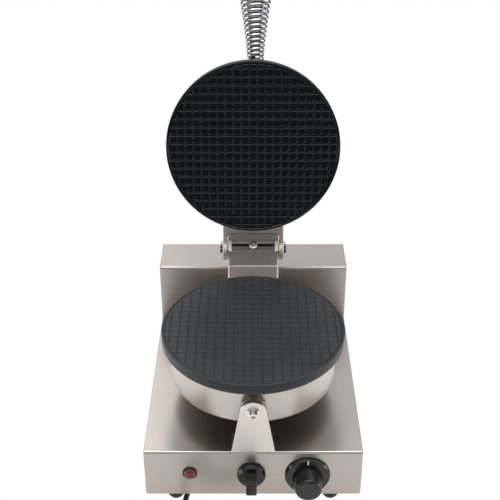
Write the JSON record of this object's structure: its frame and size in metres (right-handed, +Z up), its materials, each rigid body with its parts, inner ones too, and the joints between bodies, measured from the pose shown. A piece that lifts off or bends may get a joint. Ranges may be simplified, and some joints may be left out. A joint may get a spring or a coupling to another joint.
{
  "type": "waffle cone maker",
  "caption": "Electric waffle cone maker: two hinged round irons with a gridded face, a coil-spring handle and a steel housing with lamp, switch and thermostat.",
  "frame": {"origin": "on the surface that the feet stand on, under the centre of the machine's bounding box without its lead", "axes": "+X to the user's right, -Y out of the front panel, +Z up"},
  "size_m": [0.24, 0.5135, 0.5178],
  "materials": {
    "stainless": "fine horizontal brushed grain, satin",
    "pan_steel": "satin, faint spun grain",
    "bracket_steel": "satin with bright cut edges",
    "plate_coating": "cast aluminium with dark non-stick coating, satin",
    "bright_steel": "polished",
    "pin_steel": "dark, oiled",
    "element_steel": "heat-darkened",
    "mineral_wool": "fibrous",
    "black_plastic": "satin moulded",
    "white_plastic": "moulded",
    "red_lens": "clear red, glossy",
    "foot_rubber": "matte",
    "cord_rubber": "satin",
    "pin_brass": "nickel plated"
  },
  "bodies": {
    "root": {"base_cover": "stainless", "bottom_plate": "stainless", "bracket_foot_screws": "bright_steel", "bracket_screw": "bright_steel", "bracket_spacer": "bracket_steel", "bracket_washer": "bright_steel", "column_cover": "stainless", "cord_coil": "cord_rubber", "cord_gland": "black_plastic", "cord_tail": "cord_rubber", "foot_front_left": "foot_rubber", "foot_front_right": "foot_rubber", "foot_rear_left": "foot_rubber", "foot_rear_right": "foot_rubber", "foot_screws": "bright_steel", "front_bracket": "bracket_steel", "hinge_bracket": "bracket_steel", "hinge_bracket_screws": "bright_steel", "hinge_pin": "pin_steel", "hinge_sleeve": "pin_steel", "lamp_bezel": "black_plastic", "lamp_body": "white_plastic", "lamp_lens": "red_lens", "left_side_panel": "stainless", "lower_element": "element_steel", "lower_insulation": "mineral_wool", "lower_pan": "pan_steel", "lower_plate": "plate_coating", "lower_plate_screws": "bright_steel", "pin_clips": "bright_steel", "pin_lock_screw": "bright_steel", "plug_body": "black_plastic", "plug_pins": "pin_brass", "power_cord": "cord_rubber", "right_side_panel": "stainless", "stop_plate": "bracket_steel", "switch_body": "black_plastic", "terminal_block": "white_plastic", "thermostat_body": "black_plastic", "wiring_conduit": "bracket_steel"},
    "lid": {"lid_arm": "bracket_steel", "arm_screws": "bright_steel", "upper_pan": "pan_steel", "upper_plate": "plate_coating", "upper_element": "element_steel", "upper_insulation": "mineral_wool", "upper_plate_screws": "bright_steel", "handle_boss": "bracket_steel", "handle_rod": "bright_steel", "handle_spring": "bright_steel", "handle_nut": "bright_steel"},
    "switch": {"switch_shaft": "bright_steel", "switch_knob": "black_plastic"},
    "thermostat": {"thermostat_shaft": "bright_steel", "thermostat_dial": "black_plastic", "thermostat_grip": "black_plastic"}
  },
  "joints": [
    {"name": "lid_hinge", "type": "hinge", "parent": "root", "child": "lid", "pos_m": [0, 0.06354, 0.1915], "axis": [1, 0, 0], "range_deg": [0, 102]},
    {"name": "switch_turn", "type": "hinge", "parent": "root", "child": "switch", "pos_m": [-0.002, -0.17996, 0.05], "axis": [0, 1, 0], "range_deg": [0, 90]},
    {"name": "thermostat_turn", "type": "hinge", "parent": "root", "child": "thermostat", "pos_m": [0.06, -0.17996, 0.049], "axis": [0, 1, 0], "range_deg": [0, 270]}
  ]
}
